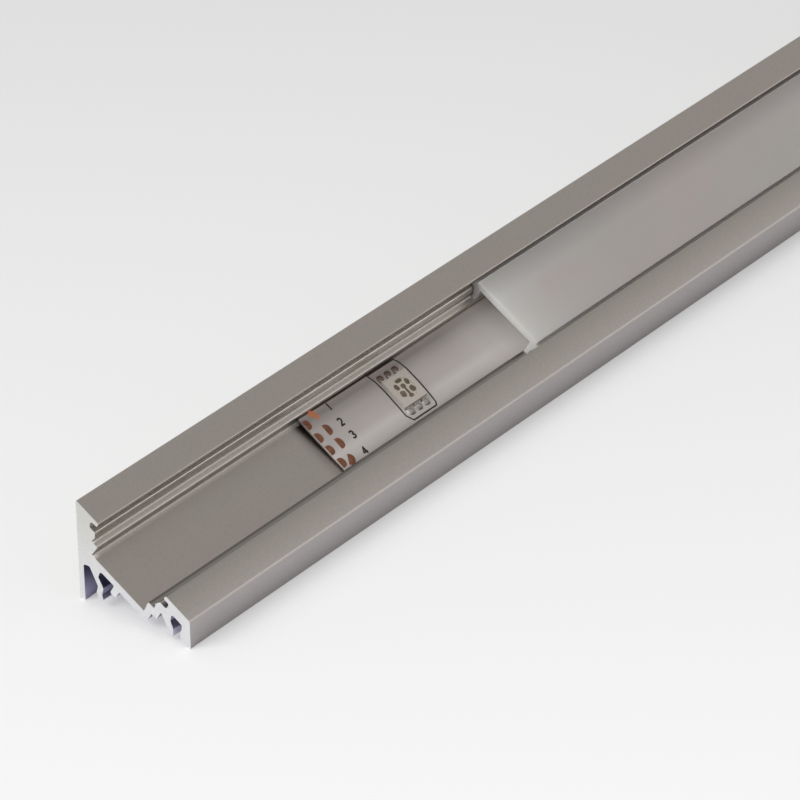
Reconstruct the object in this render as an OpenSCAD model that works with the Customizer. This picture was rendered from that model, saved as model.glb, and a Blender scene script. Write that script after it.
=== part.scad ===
// Corner profile for LED strip: a sloped channel between a tall wall and a low one,
// with a flexible LED strip on its floor and a frosted cover snapped in under its lips.
// Seen from the sawn end, X runs across, Z is up, and the profile runs along Y.

/* [Profile] */
// Length the profile is sawn to
length = 1000; // [300:50:3000]
// Height of the tall wall
wall_height = 15.95; // [15.5:0.05:17.5]
// Angle between the sloped face and the base
slope_angle = 30; // [28:0.5:31]
// Sloped face from the tall wall's corner to the upper lip's tip
upper_face = 4.65; // [4.5:0.05:5.1]
// Sloped face from the lower lip's tip to the low wall's corner
lower_face = 4.8; // [4.65:0.05:5.3]
// Thickness of the tall wall below the channel
wall_t = 0.88; // [0.7:0.02:1]
// Thickness of the web under the channel floor
web_t = 1.16; // [0.95:0.01:1.3]

/* [Channel] */
// Depth of the channel floor below the sloped face
floor_depth = 5.6; // [5.4:0.05:5.8]
// Play of the strip between the ledges' roots, both sides together
strip_play = 0.6; // [0.5:0.05:0.8]
// Ledge between the floor and the line of the lip's tip
ledge_w = 1.44; // [1.34:0.05:1.54]
// Height of the ledges above the floor
ledge_h = 2; // [1.85:0.05:2.15]
// Overhang of each ledge over the strip's edge
ledge_overhang = 0.18; // [0:0.02:0.24]
// Thickness of the lips
lip_t = 0.7; // [0.62:0.02:0.82]
// Height of the snap groove under each lip
groove_h = 1.1; // [0.98:0.01:1.18]
// Depth of the snap groove behind the lip's tip
groove_in = 1.08; // [0.93:0.05:1.18]
// Set-back of the rib's upper edge from the line of the lip's tip
rib_top_in = 0.2; // [0.1:0.02:0.3]
// Slant of the rib's face below the groove
rib_slant = 0.43; // [0.31:0.02:0.51]
// Height of the rib's face below the groove
rib_face_h = 0.98; // [0.83:0.05:1.13]
// Notch between the rib and the ledge
notch_in = 0.18; // [0.1:0.01:0.25]

/* [Legs under the web] */
// Thickness of the hooked leg and the small leg
leg_t = 0.98; // [0.82:0.02:1.08]
// Distance of the hooked leg's knee from the tall wall's outer face
knee_x = 3.86; // [3.8:0.02:4]
// Height of the hooked leg's knee
knee_z = 3.3; // [3.1:0.05:3.5]
// Height of the hooked leg's toe above the base
hook_toe_z = 1.1; // [0.85:0.05:1.25]
// Width of the foot in the middle of the web
foot_w = 1.1; // [0.95:0.05:1.25]
// Drop of the foot below the web
foot_drop = 1.5; // [1.25:0.05:1.65]
// Height of the small leg's toe above the base
small_toe_z = 0.64; // [0.42:0.02:0.82]
// Distance of the small leg's line from the low wall's outer face
small_leg_in = 3.58; // [3.5:0.02:3.7]
// Thickness of the low wall beside its pocket
low_wall_t = 1.45; // [1.35:0.05:1.55]
// Thickness of the low wall at its narrow foot
low_foot_t = 0.64; // [0.52:0.02:0.82]

/* [Edges] */
// Rounding of the lips' tips
lip_r = 0.28; // [0.1:0.02:0.3]
// Rounding of the long corner between the sloped face and the low wall
crease_r = 0.45; // [0.2:0.05:0.6]
// Rounding of the pockets' inner corners
pocket_r = 0.34; // [0.2:0.02:0.4]
// Rounding of the small edges
edge_r = 0.12; // [0.04:0.02:0.14]

/* [LED strip] */
// Width of the flexible strip
strip_w = 10; // [9.5:0.5:12]
// Thickness of the strip with its adhesive
strip_t = 0.45; // [0.3:0.05:0.6]
// Gap between the strip and the root of the upper ledge
strip_gap = 0.05; // [0:0.05:0.3]
// Bare channel from the sawn end to the strip's cut end
strip_start = 43; // [10:0.2:70]
// From the strip's cut end to the first LED
led_first = 18.4; // [12:0.1:30]
// Distance from one LED to the next
led_pitch = 33.3; // [25:0.1:60]
// Side of the square LED package
led_size = 5; // [3.6:0.1:5.6]
// Height of the LED package
led_h = 0.7; // [0.5:0.05:1.6]
// Diameter of the round window in the package
led_window_d = 3.6; // [2.5:0.1:3.8]
// Depth of the round window
led_window_deep = 0.3; // [0.1:0.05:0.4]
// Width of one solder lead
lead_w = 0.9; // [0.5:0.05:1]
// Reach of the leads beyond the package
lead_out = 0.55; // [0.3:0.05:0.8]
// Thickness of a lead
lead_t = 0.25; // [0.1:0.05:0.4]

/* [Cover] */
// Bare channel from the sawn end to the cover
cover_start = 82.3; // [45:0.1:150]
// Thickness of the cover's plate
cover_t = 1.1; // [0.8:0.05:1.15]
// Depth of the cover's face below the sloped face
cover_sink = 0.2; // [0.1:0.02:0.24]
// Gap between the cover's face and each lip
cover_gap = 0.5; // [0.3:0.05:0.6]
// Thickness of the cover's legs
cover_leg_t = 0.75; // [0.5:0.05:0.85]
// Play of the cover's noses and legs in the channel
cover_play = 0.12; // [0.06:0.02:0.16]

/* [Hidden] */
// Steps in each rounded corner
arc_steps = 5;

// Channel: widths and half widths from its centre line, and depths below the sloped face
floor_w = strip_w + strip_play;
mouth_w = floor_w + 2 * ledge_w;
centre_u = upper_face + mouth_w / 2;
groove_half = mouth_w / 2 + groove_in;
groove_foot = lip_t + groove_h;
rib_top_half = mouth_w / 2 - rib_top_in;
rib_half = rib_top_half - rib_slant;
notch_half = rib_half + notch_in;
ledge_depth = floor_depth - ledge_h;
ledge_half = floor_w / 2 - ledge_overhang;
web_under = floor_depth + web_t;

// Base, and the low wall that the sloped face comes down to
base_width = (upper_face + mouth_w + lower_face) * cos(slope_angle);
low_wall_h = wall_height - base_width * tan(slope_angle);

// Pocket beside the low wall: width, depth of its roof and how far the roof's round starts inside it
pocket_w = 2.1;
pocket_roof = 1.71;
pocket_roof_in = 0.36;
// Neck of that pocket: how far the low wall steps in, the step's ends and the slope back above it
neck_in = 0.31;
neck_z = 1.75;
neck_foot_z = 1.03;
neck_run = 0.87;
// Flare of the low wall's foot below the neck
flare_in = 0.36;
flare_z = 0.72;
// Small leg: where its right side leaves the pocket, and its bulge below that
small_top_in = 0.37;
small_top_z = 3.19;
bulge_out = 0.1;
bulge_z = 2.01;
small_root_z = 1.95;
// Notch between the small leg and the web's end
notch_w = 1.03;
notch_roof = 3.12;
notch_top = 4.78;
web_end_out = 0.12;
web_end_depth = 4.9;
web_end_r = 0.62;
// Foot under the web: right side from the channel's centre line, and how far its left root starts up
foot_half = 0.88;
foot_root_up = 0.1;
// Hooked leg: its root on the web from the channel's centre line, and its bends, each across from the knee and up from it
hook_root_half = 2.98;
hook_root_up = 0.05;
hook_top_right = [-0.87, 1.6];
hook_top_left = [-1.39, 2.68];
hook_shin = [-0.31, -1.03];
hook_toe_in = 0.05;
hook_toe_slant = 0.2;
hook_heel_in = 0.1;
// Top of the pocket between the tall wall and the hooked leg, up from the knee
wall_pocket_up = 2.62;

// LEDs and their leads
led_count = 1 + floor((length - strip_start - led_first - led_size) / led_pitch);
leads_a_side = 3;
lead_pitch = led_size / leads_a_side;

LEDS = [for (i = [1:led_count]) str("led_", i < 10 ? "0" : "", i)];

// Point at u along the sloped face and d below it, seen from the sawn end
function on_slope(u, d) =
    [u * cos(slope_angle) - d * sin(slope_angle), wall_height - u * sin(slope_angle) - d * cos(slope_angle)];

// Place along the sloped face of the point d below it that stands above x
function u_above(x, d) = (x + d * sin(slope_angle)) / cos(slope_angle);

// Corner at a half width s from the channel's centre line, on its upper (-1) or lower (1) side
function across(side, s, d, r) = concat(on_slope(centre_u + side * s, d), r);

// Points of the round that replaces corner b between a and c
function round_corner(a, b, c) =
    let (
        to_a = ([a.x, a.y] - [b.x, b.y]) / norm([a.x, a.y] - [b.x, b.y]),
        to_c = ([c.x, c.y] - [b.x, b.y]) / norm([c.x, c.y] - [b.x, b.y]),
        half = acos(to_a * to_c) / 2,
        centre = [b.x, b.y] + (to_a + to_c) / norm(to_a + to_c) * b.z / sin(half),
        first = [b.x, b.y] + to_a * b.z / tan(half),
        start = atan2(first.y - centre.y, first.x - centre.x),
        turn = (180 - 2 * half) * sign(cross(to_a, to_c)) * -1
    )
    [for (k = [0:arc_steps]) centre + b.z * [cos(start + turn * k / arc_steps), sin(start + turn * k / arc_steps)]];

// Outline through corners [x, z, radius], each one rounded
function rounded(corners) =
    let (n = len(corners))
    [for (i = [0:n - 1]) each round_corner(corners[(i + n - 1) % n], corners[i], corners[(i + 1) % n])];

function reversed(list) = [for (i = [len(list) - 1:-1:0]) list[i]];

// One side of the channel, from the lip's tip down to the floor's corner
function channel_side(side) = [
    across(side, mouth_w / 2, 0, lip_r),
    across(side, mouth_w / 2, lip_t, lip_r),
    across(side, groove_half, lip_t, pocket_r),
    across(side, groove_half, groove_foot, pocket_r),
    across(side, rib_top_half, groove_foot, edge_r),
    across(side, rib_half, groove_foot + rib_face_h, edge_r),
    across(side, notch_half, groove_foot + rib_face_h + notch_in, edge_r),
    across(side, notch_half, ledge_depth, edge_r),
    across(side, ledge_half, ledge_depth, 2 * edge_r),
    across(side, floor_w / 2, floor_depth, edge_r / 2)
];

// The low wall, from the long corner down to its foot and up inside to the pocket
low_inner_x = base_width - low_wall_t;
low_wall = [
    [base_width, low_wall_h, crease_r],
    [base_width, 0, edge_r],
    [base_width - low_foot_t, 0, edge_r],
    [base_width - low_foot_t - flare_in, flare_z, pocket_r],
    [low_inner_x - neck_in, neck_foot_z, edge_r],
    [low_inner_x - neck_in, neck_z, pocket_r],
    [low_inner_x, neck_z + neck_run, pocket_r]
];

// The pocket's roof, which follows the slope
pocket_top = [
    concat(on_slope(u_above(low_inner_x, pocket_roof), pocket_roof), edge_r),
    concat(on_slope(u_above(low_inner_x - pocket_w + pocket_roof_in, pocket_roof), pocket_roof), pocket_r)
];

// The small leg, from the pocket's side round its toe to the notch beside the web
small_right_x = base_width - small_leg_in + leg_t / 2;
small_leg = [
    [small_right_x - small_top_in, small_top_z, pocket_r],
    [small_right_x + bulge_out, bulge_z, pocket_r],
    [small_right_x, small_toe_z, 2 * edge_r],
    [small_right_x - leg_t, small_toe_z, 2 * edge_r],
    [small_right_x - leg_t, small_root_z, pocket_r]
];

// The end of the web under the lower ledge, with the notch that lies beside it
web_end_half = notch_half + web_end_out;
web_end = [
    across(1, web_end_half + notch_w, notch_roof, edge_r),
    across(1, web_end_half + notch_w, notch_top, edge_r),
    across(1, web_end_half, web_end_depth, edge_r),
    across(1, web_end_half, web_under, web_end_r)
];

// The foot that stands square to the web
foot = [
    across(1, foot_half, web_under, 2 * edge_r),
    across(1, foot_half, web_under + foot_drop, pocket_r),
    across(1, foot_half - foot_w, web_under + foot_drop, pocket_r),
    across(1, foot_half - foot_w, web_under - foot_root_up, 2 * edge_r)
];

// The hooked leg, down its right side, round its toe and up its left side to the tall wall's pocket
hook_right_x = knee_x + leg_t / 2;
hook_left_x = knee_x - leg_t / 2;
hooked_leg = [
    across(-1, hook_root_half, web_under - hook_root_up, pocket_r),
    [hook_right_x + hook_top_right.x, knee_z + hook_top_right.y, pocket_r],
    [hook_right_x, knee_z, pocket_r],
    [hook_right_x + hook_shin.x, knee_z + hook_shin.y, pocket_r],
    [hook_right_x - hook_toe_in, hook_toe_z + hook_toe_slant, 2 * edge_r],
    [hook_left_x + hook_heel_in, hook_toe_z, 2 * edge_r],
    [hook_left_x + hook_shin.x, knee_z + hook_shin.y, pocket_r],
    [hook_left_x, knee_z, pocket_r],
    [hook_left_x + hook_top_left.x, knee_z + hook_top_left.y, pocket_r]
];
tall_wall_inside = [
    [wall_t, knee_z + wall_pocket_up, pocket_r],
    [wall_t, 0, edge_r]
];

profile_outline = rounded(concat(
    [[0, 0, edge_r], [0, wall_height, edge_r]],
    channel_side(-1),
    reversed(channel_side(1)),
    low_wall,
    pocket_top,
    small_leg,
    web_end,
    foot,
    hooked_leg,
    tall_wall_inside
));

// One side of the cover, from its face round the nose in the groove to the leg's tip
nose_top = lip_t + cover_play;
nose_foot = groove_foot - cover_play;
cover_leg_half = rib_half - cover_play;
function cover_side(side) = [
    across(side, mouth_w / 2 - cover_gap, cover_sink, edge_r),
    across(side, mouth_w / 2 - cover_gap, nose_top, edge_r / 2),
    across(side, groove_half - 2 * cover_play, nose_top, edge_r),
    across(side, groove_half - 2 * cover_play, (nose_top + nose_foot) / 2, edge_r),
    across(side, rib_top_half - cover_play, nose_foot, edge_r / 2),
    across(side, cover_leg_half, groove_foot + rib_face_h, edge_r),
    across(side, cover_leg_half, ledge_depth, edge_r),
    across(side, cover_leg_half - cover_leg_t, ledge_depth, edge_r),
    across(side, cover_leg_half - cover_leg_t, cover_sink + cover_t, edge_r)
];

cover_outline = rounded(concat(cover_side(-1), reversed(cover_side(1))));

// Runs a section that is drawn in X and Z along Y, from one place to another
module run(from, to) {
    translate([-base_width / 2, to - length / 2, 0])
        rotate([90, 0, 0])
        linear_extrude(height = to - from)
        children();
}

// Places children on the middle of the strip's bed at y, with +X down the slope and +Z out of the channel
module on_floor(y, lift) {
    middle = on_slope(centre_u - floor_w / 2 + strip_gap + strip_w / 2, floor_depth);
    translate([middle.x - base_width / 2, y - length / 2, middle.y])
        rotate([0, slope_angle, 0])
        translate([0, 0, lift])
        children();
}

module profile_extrusion() {
    color("#8f8a82") run(0, length) polygon(profile_outline);
}

module led_strip() {
    color("#e6e2dc")
        on_floor((strip_start + length) / 2, strip_t / 2)
        cube([strip_w, length - strip_start, strip_t], center = true);
}

module diffuser_cover() {
    color("#dcdedd") run(cover_start, length) polygon(cover_outline);
}

module led(i) {
    color("#d9d3c6") on_floor(strip_start + led_first + i * led_pitch, strip_t) {
        difference() {
            translate([-led_size / 2, -led_size / 2, 0]) cube([led_size, led_size, led_h]);
            translate([0, 0, led_h - led_window_deep])
                cylinder(d = led_window_d, h = 2 * led_window_deep, $fn = 48);
        }
        for (side = [-1, 1], k = [0:leads_a_side - 1])
            translate([side * (led_size + lead_out) / 2, (k - (leads_a_side - 1) / 2) * lead_pitch, lead_t / 2])
            cube([lead_out, lead_w, lead_t], center = true);
    }
}

profile_extrusion();
led_strip();
diffuser_cover();
for (i = [0:led_count - 1])
    led(i);
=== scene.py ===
import math
import bmesh
import bpy
import numpy as np
from mathutils import Matrix, Vector


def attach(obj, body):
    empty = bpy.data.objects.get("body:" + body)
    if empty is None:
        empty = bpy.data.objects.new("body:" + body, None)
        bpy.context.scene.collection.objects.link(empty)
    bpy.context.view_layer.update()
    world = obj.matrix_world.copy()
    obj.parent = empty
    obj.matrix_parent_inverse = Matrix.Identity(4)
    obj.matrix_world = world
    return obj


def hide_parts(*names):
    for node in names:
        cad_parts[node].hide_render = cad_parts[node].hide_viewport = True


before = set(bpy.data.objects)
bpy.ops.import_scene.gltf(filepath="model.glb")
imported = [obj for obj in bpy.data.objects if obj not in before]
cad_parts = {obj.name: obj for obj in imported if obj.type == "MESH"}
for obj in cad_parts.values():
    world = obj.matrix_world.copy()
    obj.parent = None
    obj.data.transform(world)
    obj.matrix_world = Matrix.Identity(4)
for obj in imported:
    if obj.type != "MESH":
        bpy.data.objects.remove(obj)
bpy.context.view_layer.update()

# Viewpoint, floor and light. The profile lies on a pale plain surface and is seen from above its
# sawn end through a long lens. One wide soft lamp stands behind the viewer's left shoulder.
EYE = Vector((0.38039, -0.90741, 0.38356))
EYE_RIGHT = Vector((0.77743, 0.62890, -0.00949))
EYE_FORWARD = Vector((-0.53692, 0.65572, -0.53079))
LENS = 224.31
SENSOR_WIDTH = 36.0
SEEN_FROM, SEEN_TO = 0.05, 20.0
FLOOR_REACH = 6.0
TOWARDS_VIEWER = (0.633, -0.774, 0.0)
PAINTED_FLOOR_FALLOFF = ((0.1, 0.67), (0.22, 0.75), (0.415, 0.91), (0.47, 0.95))
PLAIN_SHARE = 0.35
ROOM_LIGHT = 0.59
ROOM_TONES = ((0.0, 1.0), (0.22, 0.92), (0.42, 0.5), (1.0, 0.46))
LAMP_PLACE = Vector((-2.2, -5.4, 4.2))
LAMP_SIZE = 4.8
LAMP_POWER = 374.0


def paint(name, roughness=0.5, metallic=0.0):
    """A new procedural material, with its node tree and its surface shader."""
    material = bpy.data.materials.new(name)
    material.use_nodes = True
    tree = material.node_tree
    shader = tree.nodes["Principled BSDF"]
    shader.inputs["Roughness"].default_value = roughness
    shader.inputs["Metallic"].default_value = metallic
    return material, tree, shader


def work_out(tree, operation, first, second=0.0):
    """One step of arithmetic on a node's output; the second term may be a plain number."""
    step = tree.nodes.new("ShaderNodeMath")
    step.operation = operation
    tree.links.new(first, step.inputs[0])
    if isinstance(second, (int, float)):
        step.inputs[1].default_value = second
    else:
        tree.links.new(second, step.inputs[1])
    return step.outputs[0]


def reach(tree, direction, start=0.0):
    """How far a point of the surface lies along a direction: the dot product of both, less start."""
    coordinates = tree.nodes.new("ShaderNodeTexCoord")
    product = tree.nodes.new("ShaderNodeVectorMath")
    product.operation = "DOT_PRODUCT"
    product.inputs[1].default_value = direction
    tree.links.new(coordinates.outputs["Object"], product.inputs[0])
    return work_out(tree, "SUBTRACT", product.outputs["Value"], float(start))


def ramp(tree, factor, *stops):
    """Runs through the stops (place, colour or grey) as factor goes from 0 to 1."""
    node = tree.nodes.new("ShaderNodeValToRGB")
    marks = node.color_ramp.elements
    while len(marks) < len(stops):
        marks.new(0.5)
    for mark, (at, colour) in zip(marks, stops):
        mark.position = at
        mark.color = colour if isinstance(colour, list) else [colour] * 3 + [1.0]
    tree.links.new(factor, node.inputs[0])
    return node.outputs[0]


def blend(tree, share, first, second):
    """The first colour where share is 0, the second where it is 1; share may be a plain number."""
    mix = tree.nodes.new("ShaderNodeMix")
    mix.data_type = "RGBA"
    for socket, value in ((mix.inputs["Factor"], share), (mix.inputs[6], first), (mix.inputs[7], second)):
        if isinstance(value, (float, list)):
            socket.default_value = value
        else:
            tree.links.new(value, socket)
    return mix.outputs[2]


eye = bpy.data.objects.new("eye", bpy.data.cameras.new("eye"))
eye.data.lens = LENS
eye.data.sensor_width = SENSOR_WIDTH
eye.data.clip_start, eye.data.clip_end = SEEN_FROM, SEEN_TO
eye_axes = Matrix((EYE_RIGHT, EYE_RIGHT.cross(EYE_FORWARD), -EYE_FORWARD)).transposed()
eye.matrix_world = Matrix.Translation(EYE) @ eye_axes.to_4x4()
bpy.context.scene.collection.objects.link(eye)
bpy.context.scene.camera = eye
bpy.context.scene.view_settings.view_transform = "Standard"

floor_mesh = bpy.data.meshes.new("floor")
floor_corners = FLOOR_REACH * np.array([(-1, -1, 0), (1, -1, 0), (1, 1, 0), (-1, 1, 0)])
floor_mesh.from_pydata(floor_corners.tolist(), [], [(0, 1, 2, 3)])
floor = bpy.data.objects.new("floor", floor_mesh)
bpy.context.scene.collection.objects.link(floor)
floor_paint, tree, shader = paint("pale_floor", 0.7)
shader.inputs["Specular IOR Level"].default_value = 0.1
# The floor's colour is painted paler towards the viewer and darker away from it: a painted falloff of the
# lamp's light.
floor_skin = ramp(tree, reach(tree, TOWARDS_VIEWER), *PAINTED_FLOOR_FALLOFF)
tree.links.new(floor_skin, shader.inputs["Base Color"])
# A share of what the viewer sees is the floor's own plain tone, so that the shadow on it stays pale.
plain_tone = tree.nodes.new("ShaderNodeEmission")
tree.links.new(floor_skin, plain_tone.inputs["Color"])
rays = tree.nodes.new("ShaderNodeLightPath")
both = tree.nodes.new("ShaderNodeMixShader")
tree.links.new(work_out(tree, "MULTIPLY", rays.outputs["Is Camera Ray"], PLAIN_SHARE), both.inputs[0])
tree.links.new(shader.outputs[0], both.inputs[1])
tree.links.new(plain_tone.outputs[0], both.inputs[2])
tree.links.new(both.outputs[0], tree.nodes["Material Output"].inputs["Surface"])
floor_mesh.materials.append(floor_paint)

# The room lights dull surfaces evenly; the eye and shiny surfaces see it bright low down and darker above.
room = bpy.data.worlds.new("room")
bpy.context.scene.world = room
room.use_nodes = True
tree = room.node_tree
rays = tree.nodes.new("ShaderNodeLightPath")
seen = work_out(tree, "MAXIMUM", rays.outputs["Is Camera Ray"], rays.outputs["Is Glossy Ray"])
seen = work_out(tree, "MAXIMUM", seen, rays.outputs["Is Transmission Ray"])
directions = tree.nodes.new("ShaderNodeTexCoord")
heights = tree.nodes.new("ShaderNodeSeparateXYZ")
tree.links.new(directions.outputs["Generated"], heights.inputs[0])
walls = ramp(tree, heights.outputs["Z"], *ROOM_TONES)
room_colour = blend(tree, seen, [ROOM_LIGHT] * 3 + [1.0], walls)
tree.links.new(room_colour, tree.nodes["Background"].inputs["Color"])

lamp = bpy.data.objects.new("soft_lamp", bpy.data.lights.new("soft_lamp", "AREA"))
lamp.data.size = LAMP_SIZE
lamp.data.energy = LAMP_POWER
lamp.location = LAMP_PLACE
lamp.rotation_euler = (-LAMP_PLACE).to_track_quat("-Z", "Y").to_euler()
bpy.context.scene.collection.objects.link(lamp)

# Corner profile. One aluminium extrusion, satin anodised in a warm silver and then sawn to
# length, so its skin is fine-grained along the length and its two ends are bare bright metal.
# From here on, sizes are in millimetres, grain in patches per metre and relief in metres.
SECTION_WIDTH = 19.858
SECTION_HEIGHT = 15.95
STOCK_LENGTH = 1000.0
SLOPE = math.radians(30)
BED_START = 6.0
STRIP_START = 43.0
DRAWN_LINES = (9000, 14, 9000)
FINE_GRAIN = 16000
SATIN_GRAIN = (2600, 1900, 2600)
PATCHES = (160, 40, 160)
SAW_MARKS = (900, 900, 22000)
SAW_TURN = math.radians(24)
SKIN_RELIEF = 0.000004
# Zones of the section: from and to along the slope, then from and to below it.
LOWER_FACE = (18.16, 22.9, -0.5, 0.3)
MATT_HIGHLIGHT_LINE = (5.19, 5.46, 3.5, 3.7)
LEDGE_SIDE = (5.8, 6.36, 3.84, 4.8)
BED = (6.12, 16.7, 5.5, 5.7)
UNDER_THE_WEB = (3.2, 30.0, 5.75, 20.0)
# Painted light and shade on the faces of the section: painted highlights on the rib, the ledge and the floor
# of the snap groove; painted shade on the groove's back, the notch, the sides of the ledges, the outer ledge,
# the outer lip's edge and the outer groove.
FACE_LIGHT_AND_SHADE = {
    "rib and ledge": ((4.68, 6.3, 1.7, 3.84), (227, 222, 214)),
    "floor of the snap groove": ((3.86, 4.68, 1.7, 1.9), (255, 253, 250)),
    "upper edge of the rib": ((4.68, 5.0, 1.7, 2.2), (255, 250, 243)),
    "back of the snap groove": ((3.5, 3.86, 0.72, 1.9), (160, 155, 151)),
    "notch": ((5.0, 5.24, 2.76, 3.6), (166, 160, 153)),
    "painted highlight on the ledge edge": ((5.19, 5.46, 3.56, 3.7), (255, 248, 238)),
    "side of the ledge": ((5.8, 6.36, 3.84, 5.52), (151, 142, 132)),
    "side of the outer ledge": ((16.42, 16.95, 3.0, 5.5), (130, 126, 120)),
    "outer ledge": ((16.95, 18.0, 2.9, 5.5), (162, 157, 150)),
    "edge of the outer lip": ((17.95, 18.16, 0.1, 0.66), (150, 145, 138)),
    "outer snap groove": ((18.2, 19.3, 0.66, 1.9), (146, 142, 150)),
}
# Zones from and to along the slope, then from and to along X or Z of the frame, these in metres.
OUTER_FACE = (23.02, 25.2, 0.00985, 0.0101)
OUTER_POCKET = (19.6, 24.0, -0.001, 0.0044)
# In metres: the walls' inner sides, where the sawn skin starts, and the fade up the wall from the floor.
INSIDE_WALLS = (-0.0096, 0.0086)
END_SKIN = 0.49994
FOOT_FADE = 1 / 60
# Where tones start, and over what run: the painted light on the lower face, and the painted shade before the
# strip.
LOWER_START, LOWER_RUN = 18.0, 5.0
SHADE_START, SHADE_RUN = 40.4, 2.7


def tone(red, green, blue):
    """Linear RGBA colour: each display step s, 0 to 255, becomes ((s / 255 + 0.055) / 1.055) ** 2.4."""
    return [((s / 255 + 0.055) / 1.055) ** 2.4 for s in (red, green, blue)] + [1.0]


def grain(tree, scale, detail=2.0, turn=(0, 0, 0)):
    """Random grain from 0 to 1 on the surface's own coordinates, turned by the angles of turn. One patch
    takes up about 1 / scale metres, and scale is one number or one for each axis."""
    coordinates = tree.nodes.new("ShaderNodeTexCoord")
    mapping = tree.nodes.new("ShaderNodeMapping")
    mapping.inputs["Scale"].default_value = scale if isinstance(scale, tuple) else (scale,) * 3
    mapping.inputs["Rotation"].default_value = turn
    tree.links.new(coordinates.outputs["Object"], mapping.inputs["Vector"])
    noise = tree.nodes.new("ShaderNodeTexNoise")
    noise.inputs["Scale"].default_value = 1.0
    noise.inputs["Detail"].default_value = detail
    tree.links.new(mapping.outputs["Vector"], noise.inputs["Vector"])
    return noise.outputs["Fac"]


def along(tree, axis):
    """One of the surface's own coordinates in metres."""
    coordinates = tree.nodes.new("ShaderNodeTexCoord")
    parts = tree.nodes.new("ShaderNodeSeparateXYZ")
    tree.links.new(coordinates.outputs["Object"], parts.inputs[0])
    return parts.outputs[axis]


def emboss(tree, shader, height, depth):
    """Raises the surface where height is 1, by depth in metres."""
    bump = tree.nodes.new("ShaderNodeBump")
    bump.inputs["Distance"].default_value = depth
    bump.inputs["Strength"].default_value = 1.0
    tree.links.new(height, bump.inputs["Height"])
    tree.links.new(bump.outputs[0], shader.inputs["Normal"])


def in_section(tree):
    """Place in the section as two outputs in millimetres: along the slope from the tall wall's corner, and
    below it."""
    lean, rise = 1000 * math.cos(SLOPE), 1000 * math.sin(SLOPE)
    wall, top = SECTION_WIDTH / 2000, SECTION_HEIGHT / 1000
    return (reach(tree, (lean, 0, -rise), -(wall * lean + top * rise)),
            reach(tree, (-rise, 0, -lean), wall * rise - top * lean))


def zone(tree, first, second, low_first, high_first, low_second, high_second):
    """1 where both values lie between their two limits, 0 elsewhere."""
    inside = []
    for value, low, high in ((first, low_first, high_first), (second, low_second, high_second)):
        near = work_out(tree, "COMPARE", value, (low + high) / 2)
        near.node.inputs[2].default_value = (high - low) / 2
        inside.append(near)
    return work_out(tree, "MULTIPLY", *inside)


def share_of(tree, value, start, run):
    """0 where the value is start and 1 where it is start + run: (value - start) / run."""
    return work_out(tree, "MULTIPLY", work_out(tree, "SUBTRACT", value, start), 1 / run)


def down_the_length(tree, start, run):
    """0 at start and 1 a run further on, both in millimetres from the sawn end."""
    return work_out(tree, "MULTIPLY", reach(tree, (0, 1, 0), (start - STOCK_LENGTH / 2) / 1000), 1000 / run)


anodised, tree, shader = paint("satin_anodised", 0.34, 1.0)
slope_u, depth = in_section(tree)
drawn_lines = grain(tree, DRAWN_LINES, 3.0)
fine_grain = grain(tree, FINE_GRAIN)
patches = grain(tree, PATCHES)
skin = ramp(tree, fine_grain, (0.3, tone(188, 181, 173)), (0.7, tone(199, 192, 184)))
skin = blend(tree, ramp(tree, patches, (0.35, 0.0), (0.65, 0.5)), skin, tone(197, 185, 177))
# Tones painted for light and shade: the lower face is painted brighter towards its outer edge,
# and each inner face has its own painted tone, with painted highlights on the ledges and painted
# shade in the deep corners.
lower_skin = ramp(tree, share_of(tree, slope_u, LOWER_START, LOWER_RUN), (0.0, tone(180, 175, 167)),
                  (0.2, tone(192, 186, 178)), (0.55, tone(204, 196, 187)), (0.95, tone(215, 207, 202)))
skin = blend(tree, zone(tree, slope_u, depth, *LOWER_FACE), skin, lower_skin)
for limits, colour in FACE_LIGHT_AND_SHADE.values():
    skin = blend(tree, zone(tree, slope_u, depth, *limits), skin, tone(*colour))
# Over the strip, the upper part of the ledge's side is painted lighter: painted light.
over_strip = work_out(tree, "GREATER_THAN", along(tree, "Y"), (STRIP_START - STOCK_LENGTH / 2) / 1000)
ledge_side = work_out(tree, "MULTIPLY", zone(tree, slope_u, depth, *LEDGE_SIDE), over_strip)
skin = blend(tree, ledge_side, skin, tone(222, 208, 196))
# Beside the upper ledge the channel floor is matt, with painted shade in its corner and a painted highlight
# just beyond; before the strip's raised end it carries a painted shadow.
on_bed = zone(tree, slope_u, depth, *BED)
corner_place = share_of(tree, slope_u, BED_START, 1.0)
corner_shade_and_highlight = ramp(tree, corner_place, (0.0, tone(160, 152, 144)), (0.18, tone(203, 195, 187)),
                   (0.27, tone(255, 248, 240)), (0.4, tone(255, 248, 240)), (0.48, tone(231, 223, 214)),
                   (0.6, tone(216, 208, 199)))
matt_corner = work_out(tree, "MULTIPLY", on_bed, ramp(tree, corner_place, (0.7, 1.0), (1.0, 0.0)))
skin = blend(tree, matt_corner, skin, corner_shade_and_highlight)
strip_shade = ramp(tree, down_the_length(tree, SHADE_START, SHADE_RUN), (0.0, 0.0), (0.3, 0.16),
                   (0.45, 0.38), (0.6, 0.52), (0.75, 0.48), (0.9, 0.34))
shade_fade = ramp(tree, share_of(tree, slope_u, BED_START, 10.0), (0.0, 1.0), (0.35, 0.7), (1.0, 0.35))
strip_shade = work_out(tree, "MULTIPLY", work_out(tree, "MULTIPLY", strip_shade, shade_fade), on_bed)
skin = blend(tree, strip_shade, skin, tone(60, 52, 46))
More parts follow.
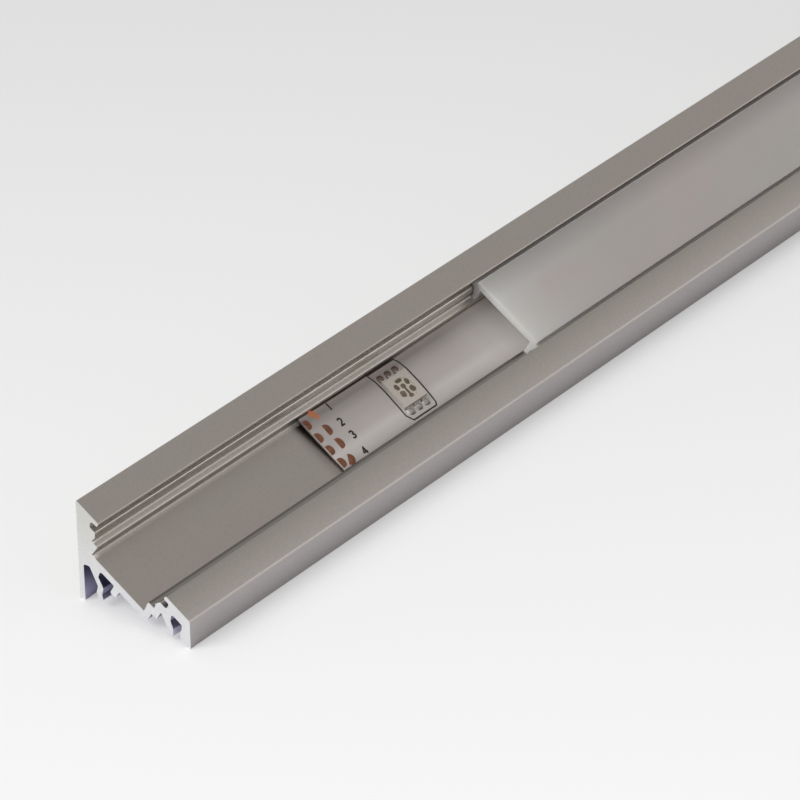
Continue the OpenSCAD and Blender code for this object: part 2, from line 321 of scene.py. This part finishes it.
# The low outer face is painted a little darker and cooler, a painted shade, and the pockets are painted
# violet
# and paler towards the outer side: painted light in them.
side_place = along(tree, "X")
skin = blend(tree, zone(tree, slope_u, side_place, *OUTER_FACE), skin, tone(180, 175, 175))
pockets = work_out(tree, "MAXIMUM", zone(tree, slope_u, depth, *UNDER_THE_WEB),
                   zone(tree, slope_u, along(tree, "Z"), *OUTER_POCKET))
inner = zone(tree, side_place, side_place, *INSIDE_WALLS, *INSIDE_WALLS)
under_foot = work_out(tree, "GREATER_THAN", slope_u, OUTER_POCKET[0])
pocket_painted_light = blend(tree, under_foot, tone(176, 174, 202), tone(232, 230, 250))
skin = blend(tree, work_out(tree, "MULTIPLY", pockets, inner), skin, pocket_painted_light)
satin = grain(tree, SATIN_GRAIN, 3.0)
skin = blend(tree, ramp(tree, satin, (0.35, 0.0), (0.7, 0.14)), skin, tone(150, 143, 137))
# The sawn ends are bare and marked by the saw; they are painted brighter towards the floor, a painted
# reflection of its light.
at_end = work_out(tree, "GREATER_THAN", work_out(tree, "ABSOLUTE", along(tree, "Y")), END_SKIN)
saw_marks = grain(tree, SAW_MARKS, 2.0, (0, SAW_TURN, 0))
upper_cut = ramp(tree, saw_marks, (0.3, tone(203, 203, 199)), (0.7, tone(221, 221, 215)))
lower_cut = ramp(tree, saw_marks, (0.3, tone(220, 220, 222)), (0.7, tone(238, 238, 240)))
up_the_wall = ramp(tree, share_of(tree, along(tree, "Z"), 0.0, FOOT_FADE), (0.2, 0.0), (0.8, 1.0))
cut_face = blend(tree, up_the_wall, lower_cut, upper_cut)
tree.links.new(blend(tree, at_end, skin, cut_face), shader.inputs["Base Color"])
tree.links.new(ramp(tree, drawn_lines, (0.3, 0.3), (0.7, 0.38)), shader.inputs["Roughness"])
# The corner's painted band and the line under the ledge's painted highlight are matt, not metal.
matt_places = work_out(tree, "MAXIMUM", matt_corner, zone(tree, slope_u, depth, *MATT_HIGHLIGHT_LINE))
tree.links.new(blend(tree, matt_places, [1.0] * 4, [0.0, 0.0, 0.0, 1.0]), shader.inputs["Metallic"])
skin_height = work_out(tree, "ADD", work_out(tree, "MULTIPLY", fine_grain, 0.6), drawn_lines)
emboss(tree, shader, blend(tree, at_end, skin_height, saw_marks), SKIN_RELIEF)
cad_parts["profile_extrusion"].material_slots[0].material = anodised

# LED strip. A 10 mm flexible circuit: white coated film on grey adhesive tape, stuck to the
# channel floor, with its cut end springing up a little. Copper pads lie bare at each cutting line.
STRIP_MIDDLE = 11.14
STRIP_HALF = 5.0
FILM_TOP = 5.15
TAPE_TOP = 5.33
TAPE_FOOT = 5.6
FILM_EDGE = 0.05
TAPE_EDGE = 0.04
TAPE_INSET = 0.05
TAPE_TRIM = 0.06
SOFT_ANGLE = math.radians(40)
LIFT_CORNER = 0.46
LIFT_EDGE = 0.08
LIFT_LENGTH = 4.2
CUT_SLANT = 0.26
CUT_EVERY = 99.9
FINE_STATIONS_TO = 16
FILM_CLOUDS = (420, 130, 420)
FILM_GRAIN = 9000
BURIED_TRACKS = (700, 24, 700)
FILM_RELIEF = 0.00003
TAPE_GRAIN = 5000
TAPE_RELIEF = 0.00001
SHEEN_RUN = 11.0
SHEEN_SHARE = 0.7
PAST_LED_START, PAST_LED_RUN = 62.5, 10.0
NEAR_COVER_START, NEAR_COVER_RUN = 64.0, 25.0


def in_frame(across, along_y, below):
    """Row-frame points in metres, from millimetres across the slope from the strip's middle, along from
    the sawn end and below the sloped face: x = u cos 30 - d sin 30 and z = height - u sin 30 - d cos 30."""
    u = STRIP_MIDDLE + across
    x = u * math.cos(SLOPE) - below * math.sin(SLOPE) - SECTION_WIDTH / 2
    z = SECTION_HEIGHT - u * math.sin(SLOPE) - below * math.cos(SLOPE)
    return np.stack(np.broadcast_arrays(x, along_y - STOCK_LENGTH / 2, z), -1) / 1000


def lift(across, along_y):
    """Height of the strip's free end above its bed: it fades down the slope with the power 1.3 of the share
    of the width, and along the length as exp(-(distance / 4.2) ** 1.5)."""
    fade = np.exp(-(np.maximum(along_y - STRIP_START, 0) / LIFT_LENGTH) ** 1.5)
    return (LIFT_EDGE + LIFT_CORNER * np.clip(0.5 - across / (2 * STRIP_HALF), 0, 1) ** 1.3) * fade


def shells(name, grids, material, round_across=True, round_along=False):
    """One mesh from point grids of shape (copies, along, across, 3): each cell of a grid is a face, the
    last column joins the first where round_across, and the first and last rows are filled where the grid
    doesn't close on itself along its length."""
    grids = np.asarray(grids, float)
    grids = grids[None] if grids.ndim == 3 else grids
    copies, rows, columns, _ = grids.shape
    index = np.arange(copies * rows * columns).reshape(copies, rows, columns)
    right = np.roll(index, -1, 2) if round_across else index[:, :, 1:]
    left = index if round_across else index[:, :, :-1]
    below = np.roll(left, -1, 1) if round_along else left[:, 1:]
    below_right = np.roll(right, -1, 1) if round_along else right[:, 1:]
    top, top_right = (left, right) if round_along else (left[:, :-1], right[:, :-1])
    faces = np.stack([top, top_right, below_right, below], -1).reshape(-1, 4).tolist()
    if round_across and not round_along:
        faces += index[:, 0, ::-1].tolist() + index[:, -1].tolist()
    mesh = bpy.data.meshes.new(name)
    mesh.from_pydata(grids.reshape(-1, 3).tolist(), [], faces)
    work = bmesh.new()
    work.from_mesh(mesh)
    bmesh.ops.remove_doubles(work, verts=work.verts, dist=1e-8)
    bmesh.ops.recalc_face_normals(work, faces=work.faces)
    work.to_mesh(mesh)
    work.free()
    mesh.polygons.foreach_set("use_smooth", np.ones(len(mesh.polygons), bool))
    mesh.set_sharp_from_angle(angle=SOFT_ANGLE)
    mesh.materials.append(material)
    piece = bpy.data.objects.new(name, mesh)
    bpy.context.scene.collection.objects.link(piece)
    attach(piece, "root")
    return piece


def flat_bar(half_width, top, bottom, edge):
    """Closed outline (across, below) of a thin layer whose four edges are quarter rounds of radius edge,
    four points to a round."""
    turn = np.linspace(0, math.pi / 2, 4)
    quarter = np.stack([np.cos(turn), np.sin(turn)]) * edge
    corners = []
    for side_x, side_y, flip in ((1, -1, 1), (-1, -1, 0), (-1, 1, 1), (1, 1, 0)):
        centre_x = side_x * (half_width - edge)
        centre_y = top + edge if side_y < 0 else bottom - edge
        order = slice(None) if flip else slice(None, None, -1)
        corners.append(np.stack([centre_x + side_x * quarter[0], centre_y + side_y * quarter[1]])[:, order])
    return np.concatenate(corners, 1)


stations = STRIP_START + np.concatenate([np.linspace(0, FINE_STATIONS_TO, 65),
                                         np.linspace(FINE_STATIONS_TO + 1, STOCK_LENGTH - STRIP_START, 60)])


def layer(name, top, bottom, edge, material, inset=0.0, trim=0.0):
    """A layer of the strip: its outline, with the two wide sides cut into short steps, is carried along the
    channel, slanted at the cut and lifted with the strip's free end."""
    corners = flat_bar(STRIP_HALF - inset, top, bottom, edge)
    fill = np.linspace(0, 1, 13)[1:-1]
    top_run, low_run = (corners[:, [end]] * (1 - fill) + corners[:, [end + 1]] * fill for end in (3, 11))
    across, below = np.concatenate([corners[:, :4], top_run, corners[:, 4:12], low_run, corners[:, 12:]], 1)
    slant = CUT_SLANT * (0.5 - across / (2 * STRIP_HALF)) * np.exp(-(stations - STRIP_START) / 2)[:, None]
    y = np.clip(stations[:, None] - slant + trim * (stations[:, None] < STRIP_START + 1), 0, STOCK_LENGTH)
    return shells(name, in_frame(across, y, below - lift(across, y)), material)


film, tree, shader = paint("white_film", 0.42)
shader.inputs["Coat Weight"].default_value = 0.12
shader.inputs["Coat Roughness"].default_value = 0.3
film_clouds = grain(tree, FILM_CLOUDS, 3.0)
film_grain = grain(tree, FILM_GRAIN)
film_skin = ramp(tree, film_clouds, (0.3, tone(180, 172, 169)), (0.7, tone(194, 187, 184)))
# A painted sheen runs along the film's lower half, with painted shade along its upper side. Under the
# ledge the film is painted dark, a painted shadow, as far as the first LED, and it is painted brighter
# where the frosted cover comes near, painted light through it.
across_film = share_of(tree, in_section(tree)[0], BED_START, SHEEN_RUN)
sheen_and_shade = ramp(tree, across_film, (0.03, tone(168, 158, 151)), (0.045, tone(176, 166, 159)),
             (0.07, tone(148, 140, 135)), (0.12, tone(134, 126, 121)), (0.16, tone(157, 149, 145)),
             (0.3, tone(188, 180, 176)), (0.58, tone(195, 187, 184)), (0.7, tone(219, 213, 207)),
             (0.82, tone(203, 196, 190)), (0.93, tone(180, 174, 169)))
film_skin = blend(tree, SHEEN_SHARE, film_skin, sheen_and_shade)
nearing_cover = ramp(tree, down_the_length(tree, NEAR_COVER_START, NEAR_COVER_RUN), (0.0, 0.0), (0.4, 0.05),
                     (0.52, 0.15), (0.65, 0.32), (0.85, 1.0))
film_skin = blend(tree, nearing_cover, film_skin, tone(250, 244, 240))
past_led = down_the_length(tree, PAST_LED_START, PAST_LED_RUN)
past_led = ramp(tree, past_led, (0.05, 1.0), (0.4, 0.3), (1.0, 0.1))
under_ledge = work_out(tree, "MULTIPLY", ramp(tree, across_film, (0.028, 1.0), (0.04, 0.0)), past_led)
film_skin = blend(tree, under_ledge, film_skin, tone(34, 27, 20))
tree.links.new(film_skin, shader.inputs["Base Color"])
fine_height = work_out(tree, "MULTIPLY", film_grain, 0.15)
emboss(tree, shader, work_out(tree, "ADD", fine_height, grain(tree, BURIED_TRACKS, 1.0)), FILM_RELIEF)

tape, tree, shader = paint("adhesive_tape", 0.6)
tape_grain = grain(tree, TAPE_GRAIN)
tape_skin = ramp(tree, tape_grain, (0.3, tone(96, 88, 82)), (0.7, tone(120, 110, 102)))
tree.links.new(tape_skin, shader.inputs["Base Color"])
emboss(tree, shader, tape_grain, TAPE_RELIEF)

strip_film = layer("strip_film", FILM_TOP, TAPE_TOP, FILM_EDGE, film)
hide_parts("led_strip")
strip_tape = layer("strip_tape", TAPE_TOP, TAPE_FOOT, TAPE_EDGE, tape, TAPE_INSET, TAPE_TRIM)

# Solder pads. Two rows of bare copper browned by air, four a row, etched as half rounds with
# their flat side towards the cutting line between two lengths of strip.
PAD_RISE = 0.03
PAD_POWER = 2.4
PAD_SIDES = 28
PAD_FLAT = 0.3
CUT_PAD_HALF, CUT_PAD_LONG = 0.82, 1.1
BACK_PAD_HALF, BACK_PAD_LONG = 0.92, 1.15
# Pads of a row: across the strip from its middle, along it from the cut, and the turn in radians.
CUT_ROW = [(-3.42, -0.12, 0.0), (-0.96, -0.06, 0.0), (1.42, 0.0, 0.0), (3.84, 0.05, 0.0)]
JOINT_ROW = [(-3.42, 0.1, 0.0), (-0.96, 0.1, 0.0), (1.42, 0.1, 0.0), (3.84, 0.1, 0.0)]
BACK_ROW = [(-4.02, 2.1, 0.7), (-1.3, 2.25, 0.0), (1.3, 2.25, 0.0), (4.1, 1.7, -0.6)]
TARNISH = 1500
# One pad is coloured brighter: from and to along the slope, then from and to along Y in metres.
BRIGHTER_PAD = (5.9, 8.1, -0.4560, -0.4533)
COPPER_RELIEF = 0.000012
JOINT_COUNT = 9
JOINTS_Y = STRIP_START + CUT_EVERY * np.arange(1, JOINT_COUNT + 1)


def superellipse(sides, power):
    """The two coordinates of the closed curve |x| ** power + |y| ** power = 1: the cosine and the sine of an
    even turn, each with its sign kept and its size raised to 2 / power."""
    angle = np.linspace(0, 2 * math.pi, sides, endpoint=False)
    return [np.sign(part) * np.abs(part) ** (2 / power) for part in (np.cos(angle), np.sin(angle))]


def half_rounds(places, start, long, facing=1, half=CUT_PAD_HALF):
    """Closed domed plates whose plan is a superellipse, cut flat a quarter of its length behind its middle
    and turned about it. Rows run from the top's pole out to the rim and in again below it."""
    across_0, along_0, turn = np.array(places).T[:, :, None, None]
    one, two = superellipse(PAD_SIDES, PAD_POWER)
    plan_across = one * half
    plan_along = np.maximum(two, -PAD_FLAT) * long / (1 + PAD_FLAT)
    ring = np.array([0.0, 0.45, 0.8, 0.95, 1.0, 1.0, 0.0])[None, :, None]
    rise = np.array([1.0, 1.0, 0.96, 0.8, 0.45, -0.4, -0.4])[None, :, None] * PAD_RISE
    across = across_0 + ring * (plan_across * np.cos(turn) - plan_along * np.sin(turn))
    outward = ring * (plan_across * np.sin(turn) + plan_along * np.cos(turn))
    along_y = start + facing * (along_0 + PAD_FLAT * long / (1 + PAD_FLAT) + outward)
    return in_frame(across, along_y, FILM_TOP - lift(across, along_y) - rise)


copper, tree, shader = paint("bare_copper", 0.42, 0.5)
tarnish = grain(tree, TARNISH, 3.0)
browned = ramp(tree, tarnish, (0.3, tone(120, 76, 54)), (0.6, tone(142, 92, 68)), (0.8, tone(170, 110, 78)))
brighter_pad = zone(tree, in_section(tree)[0], along(tree, "Y"), *BRIGHTER_PAD)
tree.links.new(blend(tree, brighter_pad, browned, tone(214, 140, 100)), shader.inputs["Base Color"])
emboss(tree, shader, tarnish, COPPER_RELIEF)

pad_sets = [half_rounds(CUT_ROW, STRIP_START, CUT_PAD_LONG),
            half_rounds(BACK_ROW, STRIP_START, BACK_PAD_LONG, half=BACK_PAD_HALF)]
for joint_y in JOINTS_Y:
    pad_sets += [half_rounds(JOINT_ROW, joint_y, CUT_PAD_LONG, facing) for facing in (1, -1)]
pads = shells("solder_pads", np.concatenate(pad_sets), copper)

# Printed marks. Plain numbers beside the pads, the box round each LED and the cutting lines are
# screen-printed in black ink that stands a few hundredths of a millimetre above the film.
INK_RISE = 0.02
INK_GRAIN = 12000
NUMBER_LINE = 0.29
NUMBER_SIZE = 0.86
# Middles of the numbers across and along the strip, and their strokes as shares over and up.
NUMBER_PLACES = [(-4.0, 48.9), (-1.23, 48.6), (1.27, 48.6), (4.2, 48.2)]
NUMBER_STROKES = [
    [[(-0.16, 0.42), (0.04, 0.66), (0.04, -0.7)]],
    [[(-0.36, 0.4), (-0.2, 0.66), (0.14, 0.68), (0.36, 0.42), (0.3, 0.08), (-0.38, -0.68), (0.42, -0.68)]],
    [[(-0.36, 0.5), (-0.1, 0.69), (0.22, 0.64), (0.36, 0.34), (0.2, 0.06), (-0.06, 0.03)],
     [(-0.06, 0.03), (0.26, -0.04), (0.4, -0.34), (0.24, -0.62), (-0.12, -0.7), (-0.4, -0.5)]],
    [[(0.18, -0.7), (0.18, 0.68), (-0.42, -0.28), (0.44, -0.28)]],
]


def ink_line(points, width, closed=False, pieces=6):
    """A printed line: the path is cut into short steps, and a flat section as wide as the line is carried
    along it, set across the middle direction of the two steps that meet at each point."""
    points = np.asarray(points, float)
    ends = np.roll(points, -1, 0) if closed else points[1:]
    starts = points if closed else points[:-1]
    share = np.arange(pieces)[None, :, None] / pieces
    path = (starts[:, None] * (1 - share) + ends[:, None] * share).reshape(-1, 2)
    path = path if closed else np.vstack([path, points[-1]])
    after = np.roll(path, -1, 0) - path
    before = path - np.roll(path, 1, 0)
    if not closed:
        after[-1], before[0] = before[-1], after[0]
    after /= np.linalg.norm(after, axis=1, keepdims=True)
    before /= np.linalg.norm(before, axis=1, keepdims=True)
    way = after + before
    way /= np.linalg.norm(way, axis=1, keepdims=True)
    stretch = 1 / np.clip((way * after).sum(1, keepdims=True), 0.6, 1)
    sideways = np.stack([-way[:, 1], way[:, 0]], -1) * stretch * width / 2
    section = np.array([(-1, -0.3), (-1, 0.7), (-0.7, 1), (0.7, 1), (1, 0.7), (1, -0.3)])
    plan = path[:, None] + sideways[:, None] * section[None, :, :1]
    across, along_y = plan[..., 0], plan[..., 1]
    return in_frame(across, along_y, FILM_TOP - lift(across, along_y) - section[None, :, 1] * INK_RISE)


ink, tree, shader = paint("black_ink", 0.5)
ink_skin = ramp(tree, grain(tree, INK_GRAIN), (0.3, tone(22, 18, 16)), (0.75, tone(52, 46, 41)))
tree.links.new(ink_skin, shader.inputs["Base Color"])
for number, ((across, along_y), strokes) in enumerate(zip(NUMBER_PLACES, NUMBER_STROKES), 1):
    for part, stroke in enumerate(strokes):
        path = [(across - NUMBER_SIZE * up, along_y + NUMBER_SIZE * over) for over, up in stroke]
        mark = shells(f"number_{number}_{part}", ink_line(path, NUMBER_LINE), ink)

# LEDs. Square moulded packages, 5 mm a side, with three tinned leads soldered down on two sides.
# A round window of milky resin in the top shows the petals of the metal lead frame beneath it.
LED_FIRST = 61.4
LED_PITCH = 33.3
LED_NODES = [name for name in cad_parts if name.startswith("led_") and name[4:].isdigit()]
LED_Y = LED_FIRST + LED_PITCH * np.arange(len(LED_NODES))
LED_TOP = 4.45
LED_HALF = 2.5
BOX_LINE, CUT_LINE = 0.24, 0.12
BOX_CORNERS = [(-4.76, -3.15), (-3.3, -2.8), (-1.35, -2.73), (1.4, -2.87), (3.35, -3.0), (4.52, -2.4),
               (4.52, 2.68), (4.04, 3.04), (2.52, 3.24), (0.0, 3.43), (-2.5, 3.43), (-4.0, 3.16),
               (-4.72, 2.74)]
MOULD_GRAIN, MOULD_RELIEF = 6000, 0.000008
WINDOW_HALF = 1.78
WINDOW_TOP, WINDOW_FOOT, WINDOW_CROWN = LED_TOP + 0.06, LED_TOP + 0.3, 0.03
RESIN_CLOUDS = 1600
# Petals: across, along, half their size both ways, and the turn in radians.
PETALS = [(-1.42, 0.0, 0.3, 0.64, 0.0), (-0.7, -1.12, 0.52, 0.4, 0.35), (-0.7, 1.16, 0.52, 0.4, -0.35),
          (0.62, -1.0, 0.54, 0.5, -0.3), (0.62, 1.05, 0.54, 0.5, 0.3), (-0.38, 0.0, 0.42, 0.46, 0.0),
          (0.5, 0.0, 0.8, 0.24, 0.0), (1.4, 0.0, 0.28, 0.44, 0.0)]
PETAL_TOP, PETAL_FOOT, PETAL_CROWN, PETAL_POWER = LED_TOP + 0.035, LED_TOP + 0.2, 0.02, 3.0
FRAME_STAIN = 1200

led_boxes = [ink_line(np.array(BOX_CORNERS) + (0, y), BOX_LINE, closed=True, pieces=4) for y in LED_Y]
box_lines = shells("led_box_lines", np.stack(led_boxes), ink, round_along=True)
cut_lines = [ink_line([(-4.9, y), (-4.3, y), (4.3, y), (4.9, y)], CUT_LINE) for y in JOINTS_Y]
cut_marks = shells("cutting_lines", np.stack(cut_lines), ink)

moulding, tree, shader = paint("cream_moulding", 0.38)
mould_grain = grain(tree, MOULD_GRAIN)
body_skin = ramp(tree, mould_grain, (0.3, tone(189, 181, 172)), (0.7, tone(199, 191, 183)))
tree.links.new(body_skin, shader.inputs["Base Color"])
emboss(tree, shader, mould_grain, MOULD_RELIEF)
for name in LED_NODES:
    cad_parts[name].material_slots[0].material = moulding


def discs(centres, half_across, half_along, top, foot, crown, turn=0.0, power=2.0, sides=24):
    """Closed rounded plates at the centres (across, along): the plan is a superellipse, and the top rises by
    crown * (1 - r * r), where r is the share of the way out to the rim."""
    one, two = superellipse(sides, power)
    plan_across = one * half_across * math.cos(turn) - two * half_along * math.sin(turn)
    plan_along = one * half_across * math.sin(turn) + two * half_along * math.cos(turn)
    ring = np.array([0.0, 0.4, 0.75, 0.94, 1.0, 1.0, 0.0])
    level = np.append(top - crown * np.array([1.0, 0.84, 0.44, 0.1]), [top + 0.01, foot, foot])
    across = centres[:, 0, None, None] + ring[None, :, None] * plan_across
    along_y = centres[:, 1, None, None] + ring[None, :, None] * plan_along
    return in_frame(across, along_y, level[None, :, None] + 0 * across)


def at_leds(across, along_y):
    """The same place on every LED, as (across, along) rows."""
    return np.stack([np.full(len(LED_Y), across), LED_Y + along_y], -1)


resin, tree, shader = paint("milky_resin", 0.22)
resin_skin = ramp(tree, grain(tree, RESIN_CLOUDS), (0.3, tone(194, 185, 168)), (0.7, tone(204, 196, 180)))
tree.links.new(resin_skin, shader.inputs["Base Color"])
window_grids = discs(at_leds(0, 0), WINDOW_HALF, WINDOW_HALF, WINDOW_TOP, WINDOW_FOOT, WINDOW_CROWN, sides=40)
windows = shells("led_windows", window_grids, resin)

frame_metal, tree, shader = paint("lead_frame", 0.42, 0.3)
frame_skin = ramp(tree, grain(tree, FRAME_STAIN), (0.3, tone(96, 84, 72)), (0.6, tone(122, 106, 92)),
                  (0.8, tone(150, 108, 92)))
tree.links.new(frame_skin, shader.inputs["Base Color"])
petal_grids = [discs(at_leds(across, along_y), half_across, half_along, PETAL_TOP, PETAL_FOOT, PETAL_CROWN,
                     turn, PETAL_POWER) for across, along_y, half_across, half_along, turn in PETALS]
petals = shells("led_frame_petals", np.concatenate(petal_grids), frame_metal)

# Solder. Each lead sits in a small bright heap of solder that creeps up its toe and spreads on
# the pad beneath it, three heaps along each of the two sides of every LED.
LEAD_PITCH = 5 / 3
HEAP_OUT, HEAP_ACROSS, HEAP_ALONG = 0.66, 0.7, 0.66
HEAP_TOP, HEAP_FOOT, HEAP_CROWN, HEAP_POWER = FILM_TOP - 0.02, FILM_TOP + 0.05, 0.34, 2.6
SOLDER_GRAIN, SOLDER_RELIEF = 4000, 0.00002

solder, tree, shader = paint("bright_solder", 0.4, 0.7)
solder_grain = grain(tree, SOLDER_GRAIN)
solder_skin = ramp(tree, solder_grain, (0.3, tone(150, 144, 136)), (0.7, tone(205, 200, 192)))
# The heaps on the upper side are painted darker: painted shade beside the LED bodies.
shaded_solder = ramp(tree, solder_grain, (0.3, tone(112, 97, 88)), (0.7, tone(134, 117, 106)))
shaded_upper_side = work_out(tree, "LESS_THAN", in_section(tree)[0], STRIP_MIDDLE)
tree.links.new(blend(tree, shaded_upper_side, solder_skin, shaded_solder), shader.inputs["Base Color"])
emboss(tree, shader, solder_grain, SOLDER_RELIEF)
heap_grids = [discs(at_leds(side * (LED_HALF + HEAP_OUT), step * LEAD_PITCH), HEAP_ACROSS, HEAP_ALONG,
                    HEAP_TOP, HEAP_FOOT, HEAP_CROWN, power=HEAP_POWER)
              for side in (-1, 1) for step in (-1, 0, 1)]
heaps = shells("solder_heaps", np.concatenate(heap_grids), solder)

# Diffuser cover. Frosted plastic drawn as one long section, its noses clipped into the snap
# grooves. Its colour holds a soft painted glow of what lies under it and a faint painted pink cast over the
# LEDs.
COVER_START = 82.3
GLOW_RUN = 25.0
SHADED_RUN = 20.0
CAST_ALONG, CAST_ACROSS = 10.0, 5.0
COVER_CLOUDS = (90, 28, 90)
COVER_GRAIN, COVER_RELIEF = 9000, 0.00001
PLASTIC_IOR = 1.49

frosted, tree, shader = paint("frosted_plastic", 0.55)
shader.inputs["IOR"].default_value = PLASTIC_IOR
shader.inputs["Transmission Weight"].default_value = 0.3
shader.inputs["Subsurface Weight"].default_value = 0.6
shader.inputs["Subsurface Radius"].default_value = (1.0, 0.95, 0.9)
shader.inputs["Subsurface Scale"].default_value = 0.0015
slope_u = in_section(tree)[0]
cover_skin = ramp(tree, grain(tree, COVER_CLOUDS), (0.35, tone(195, 191, 187)), (0.65, tone(198, 190, 186)))
# A painted glow near the cover's cut end stands in for light that comes through it.
glow = ramp(tree, down_the_length(tree, COVER_START, GLOW_RUN), (0.0, 0.75), (0.06, 0.52), (0.2, 0.3),
            (0.45, 0.12), (1.0, 0.0))
cover_skin = blend(tree, glow, cover_skin, tone(236, 236, 233))
# The cover's upper side is painted darker: painted shade.
shaded_upper_side = ramp(tree, share_of(tree, slope_u, 0.0, SHADED_RUN), (0.25, 0.5), (0.45, 0.0))
cover_skin = blend(tree, shaded_upper_side, cover_skin, tone(140, 134, 131))
# The painted pink cast fades with the distance from each LED: along the length it repeats with their pitch.
between_leds = reach(tree, (0, 1, 0), (LED_FIRST - LED_PITCH / 2 - STOCK_LENGTH / 2) / 1000)
between_leds = work_out(tree, "MODULO", between_leds, LED_PITCH / 1000)
from_led = work_out(tree, "ABSOLUTE", work_out(tree, "SUBTRACT", between_leds, LED_PITCH / 2000))
from_middle = work_out(tree, "ABSOLUTE", work_out(tree, "SUBTRACT", slope_u, STRIP_MIDDLE))
cast_along = share_of(tree, from_led, 0.0, CAST_ALONG / 1000)
cast_along = ramp(tree, cast_along, (0.0, 0.1), (0.25, 0.4), (0.5, 0.0))
cast_across = ramp(tree, share_of(tree, from_middle, 0.0, CAST_ACROSS), (0.1, 1.0), (0.45, 0.0))
cover_skin = blend(tree, work_out(tree, "MULTIPLY", cast_along, cast_across), cover_skin, tone(206, 186, 186))
tree.links.new(cover_skin, shader.inputs["Base Color"])
emboss(tree, shader, grain(tree, COVER_GRAIN), COVER_RELIEF)
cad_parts["diffuser_cover"].material_slots[0].material = frosted
